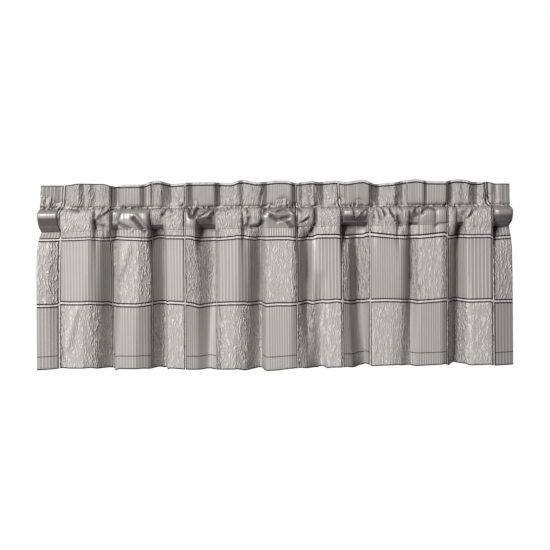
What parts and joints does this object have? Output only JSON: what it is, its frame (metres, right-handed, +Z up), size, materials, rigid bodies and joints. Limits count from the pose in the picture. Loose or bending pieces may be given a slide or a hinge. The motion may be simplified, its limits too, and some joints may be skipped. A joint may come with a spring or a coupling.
{
  "type": "window valance",
  "caption": "Gathered rod-pocket window valance with a ruffled header, hanging in soft uneven folds of pewter satin woven in a check of ribbed and crinkled blocks.",
  "frame": {"origin": "on the axis of the rod pocket, at the middle of the valance's hung width", "axes": "+X along the rod, to the right as seen from the room; -Y faces the room; +Z up"},
  "size_m": [1.1764, 0.0813, 0.456],
  "materials": {
    "pewter_satin_heading": "satin weave in a check of ribbed and crinkled blocks",
    "pewter_satin_skirt": "satin weave in a check of ribbed and crinkled blocks"
  },
  "bodies": {
    "root": {"rod_pocket_heading": "pewter_satin_heading", "skirt_cloth": "pewter_satin_skirt"}
  },
  "joints": []
}
